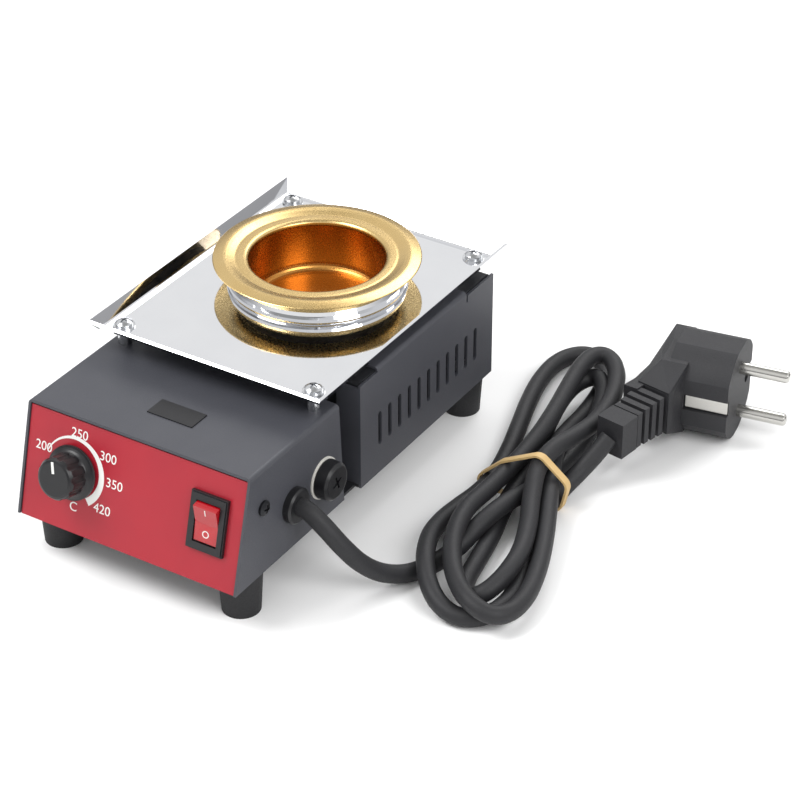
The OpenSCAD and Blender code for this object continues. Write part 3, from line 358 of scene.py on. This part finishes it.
# A crescent that grows from thin at the cold end to its full width at the hot end
def addDialArc(s):
    verts, faces = [], []
    for k in range(s["sides"] + 1):
        t = k / s["sides"]
        a = math.radians(s["start"] + (s["end"] - s["start"]) * t)
        for r in (s["outer"], s["outer"] - s["thin"] - (s["wide"] - s["thin"]) * t):
            for out in (0.0, 0.05):
                verts.append(onPanel(s["x"] + r * math.cos(a), s["s"] + r * math.sin(a), out))
    for k in range(s["sides"]):
        i = 4 * k
        faces += [(i + 1, i + 3, i + 7, i + 5), (i, i + 1, i + 5, i + 4), (i + 3, i + 2, i + 6, i + 7)]
    last = 4 * s["sides"]
    faces += [(0, 2, 3, 1), (last, last + 1, last + 3, last + 2)]
    made = addMesh("dial_arc", verts, faces, materials["white_print"], smooth=False)
    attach(made, "case")
    return made


addDialArc(dialSet)
for words, place in numerals.items():
    addText("numeral_" + words, words, onPanel(*place, 0.03), panelTurn, 3.4 * mm, materials["white_print"], "case")

# Marks on the knob and the rocker


def surfaceAt(name, place, towards):
    """Where a ray meets a CAD node, and which way the surface there faces."""
    found, hit, normal, _ = nodes[name].ray_cast(Vector(place), Vector(towards))
    return (hit, normal) if found else (None, None)


pointerSet = {"angle": 102, "start": 2.2, "end": 6.4, "wide": 1.1, "top": 11.0}


def addPointer(s):
    a = math.radians(s["angle"])
    along = panelRight * math.cos(a) + panelUp * math.sin(a)
    aside = panelOut.cross(along)
    base = onPanel(dialSet["x"], dialSet["s"], s["top"] + 0.6)
    verts = [base + (along * u + aside * v * s["wide"] / 2 + panelOut * w) * mm
             for u, v, w in ((s["start"], -1, 0), (s["end"], -1, 0), (s["end"], 1, 0), (s["start"], 1, 0),
                             (s["start"], -0.9, 0.08), (s["end"], -0.9, 0.08), (s["end"], 0.9, 0.08),
                             (s["start"], 0.9, 0.08))]
    faces = [(4, 5, 6, 7), (0, 1, 5, 4), (1, 2, 6, 5), (2, 3, 7, 6), (3, 0, 4, 7), (3, 2, 1, 0)]
    made = addMesh("knob_pointer", verts, faces, materials["white_print"], smooth=False)
    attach(made, "dial")


addPointer(pointerSet)
switchSet = {"x": 32.3, "s": 22.6, "marks": {"I": 4.2, "O": -4.2}, "height": 2.6 * mm}
for words, up in switchSet["marks"].items():
    start = onPanel(switchSet["x"], switchSet["s"] + up, 20)
    hit, normal = surfaceAt("rocker", start, -panelOut)
    if hit is not None:
        along = (panelUp - normal * panelUp.dot(normal)).normalized()
        turn = Matrix((along.cross(normal), along, normal)).transposed()
        addText("switch_mark_" + words, words, hit + normal * 0.01 * mm, turn, switchSet["height"],
                materials["white_print"], "rocker_body")
print("print done")

# Stage, lights and render
stageSet = {"reach": 3.0, "white": "#f4f4f4"}


def addStage(s):
    r = s["reach"]
    floor = addMesh("stage_floor", [(-r, -r, 0), (r, -r, 0), (r, r, 0), (-r, r, 0)], [(0, 1, 2, 3)],
                    makeMaterial("stage_white", {"colour": s["white"], "rough": (0.8, 0.9), "bump": 0}))
    world = bpy.data.worlds.new("studio")
    scene.world = world
    world.use_nodes = True
    tree = world.node_tree
    light = tree.nodes["Background"]
    where = addNode(tree, "ShaderNodeTexCoord").outputs["Generated"]
    split = addNode(tree, "ShaderNodeSeparateXYZ", [("Vector", where)])
    ramp = addNode(tree, "ShaderNodeValToRGB", [("Fac", split.outputs["Z"])])
    tones = [(0.02, "#5a5a5c"), (0.2, "#a8a8aa"), (0.4, "#ffffff"), (0.8, "#ffffff"), (0.95, "#b8b8b6")]
    while len(ramp.color_ramp.elements) < len(tones):
        ramp.color_ramp.elements.new(0.5)
    for element, (place, tone) in zip(ramp.color_ramp.elements, tones):
        element.position, element.color = place, linear(tone)
    tree.links.new(ramp.outputs["Color"], light.inputs["Color"])
    light.inputs["Strength"].default_value = 1.0


def addLight(name, place, target, size, power):
    data = bpy.data.lights.new(name, "AREA")
    data.shape, data.size, data.energy = "DISK", size, power
    made = bpy.data.objects.new(name, data)
    scene.collection.objects.link(made)
    aim = (Vector(place) - Vector(target)).to_track_quat("Z", "Y")
    made.matrix_world = Matrix.Translation(place) @ aim.to_matrix().to_4x4()


addStage(stageSet)
addLight("key", (-0.5, -0.5, 1.0), (0, 0, 0.04), 0.6, 9)
addLight("fill", (0.9, -0.3, 0.8), (0, 0, 0.04), 0.7, 6)
addLight("back", (-0.1, 0.9, 0.9), (0, 0, 0.04), 0.7, 5)
scene.render.engine = "CYCLES"
scene.cycles.samples = 96
scene.cycles.use_denoising = True
scene.view_settings.view_transform = "Standard"
